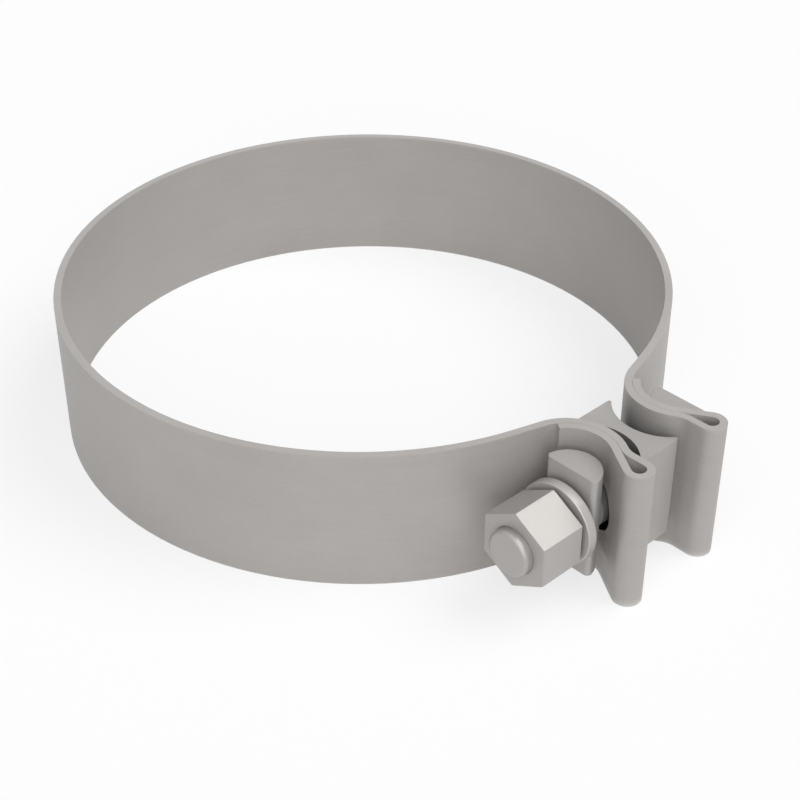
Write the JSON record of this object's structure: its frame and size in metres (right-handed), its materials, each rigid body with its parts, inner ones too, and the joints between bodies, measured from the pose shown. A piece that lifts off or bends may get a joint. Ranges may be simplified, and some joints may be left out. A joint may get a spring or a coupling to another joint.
{
  "type": "exhaust clamp",
  "caption": "Flat band clamp for an exhaust slip joint: a strap with folded, looped ears, half round bars, a hollow sided block between the ears, and a bolt with washer and nut.",
  "frame": {"origin": "centre of the hoop on the pipe's axis, at the strap's mid width", "axes": "+Z along the pipe, +X from the pipe's axis through the gap to the ears and the bolt, +Y along the bolt towards its head (the nut is at -Y)"},
  "size_m": [0.1587, 0.1354, 0.0318],
  "materials": {
    "strap_steel": "satin rolled stainless sheet",
    "formed_steel": "satin formed steel",
    "fastener_steel": "satin, bright plated"
  },
  "bodies": {
    "strap": {"band": "strap_steel"},
    "block": {"reaction_block": "formed_steel"},
    "nut_side_bar": {"nut_side_bar": "formed_steel"},
    "head_side_bar": {"head_side_bar": "formed_steel"},
    "bolt": {"bolt": "fastener_steel"},
    "washer": {"washer": "fastener_steel"},
    "nut": {"nut": "fastener_steel"}
  },
  "joints": [
    {"name": "block_slide", "type": "slide", "parent": "strap", "child": "block", "axis": [0, 1, 0], "range_m": [-0.0025, 0.0014]},
    {"name": "nut_side_bar_slide", "type": "slide", "parent": "strap", "child": "nut_side_bar", "axis": [0, 1, 0], "range_m": [0, 0.0014]},
    {"name": "head_side_bar_slide", "type": "slide", "parent": "strap", "child": "head_side_bar", "axis": [0, -1, 0], "range_m": [0, 0.0019]},
    {"name": "bolt_slide", "type": "slide", "parent": "strap", "child": "bolt", "axis": [0, 1, 0], "range_m": [0, 0.0009]},
    {"name": "washer_slide", "type": "slide", "parent": "bolt", "child": "washer", "axis": [0, -1, 0], "range_m": [0, 0.0106]},
    {"name": "nut_turn", "type": "hinge", "parent": "washer", "child": "nut", "pos_m": [0.07595, -0.0208, 0.0006], "axis": [0, -1, 0], "range_deg": [0, 2520]}
  ],
  "couplings": [
    {"joint": "washer_slide", "follows": "nut_turn", "m_per_rad": 0.00023873}
  ]
}
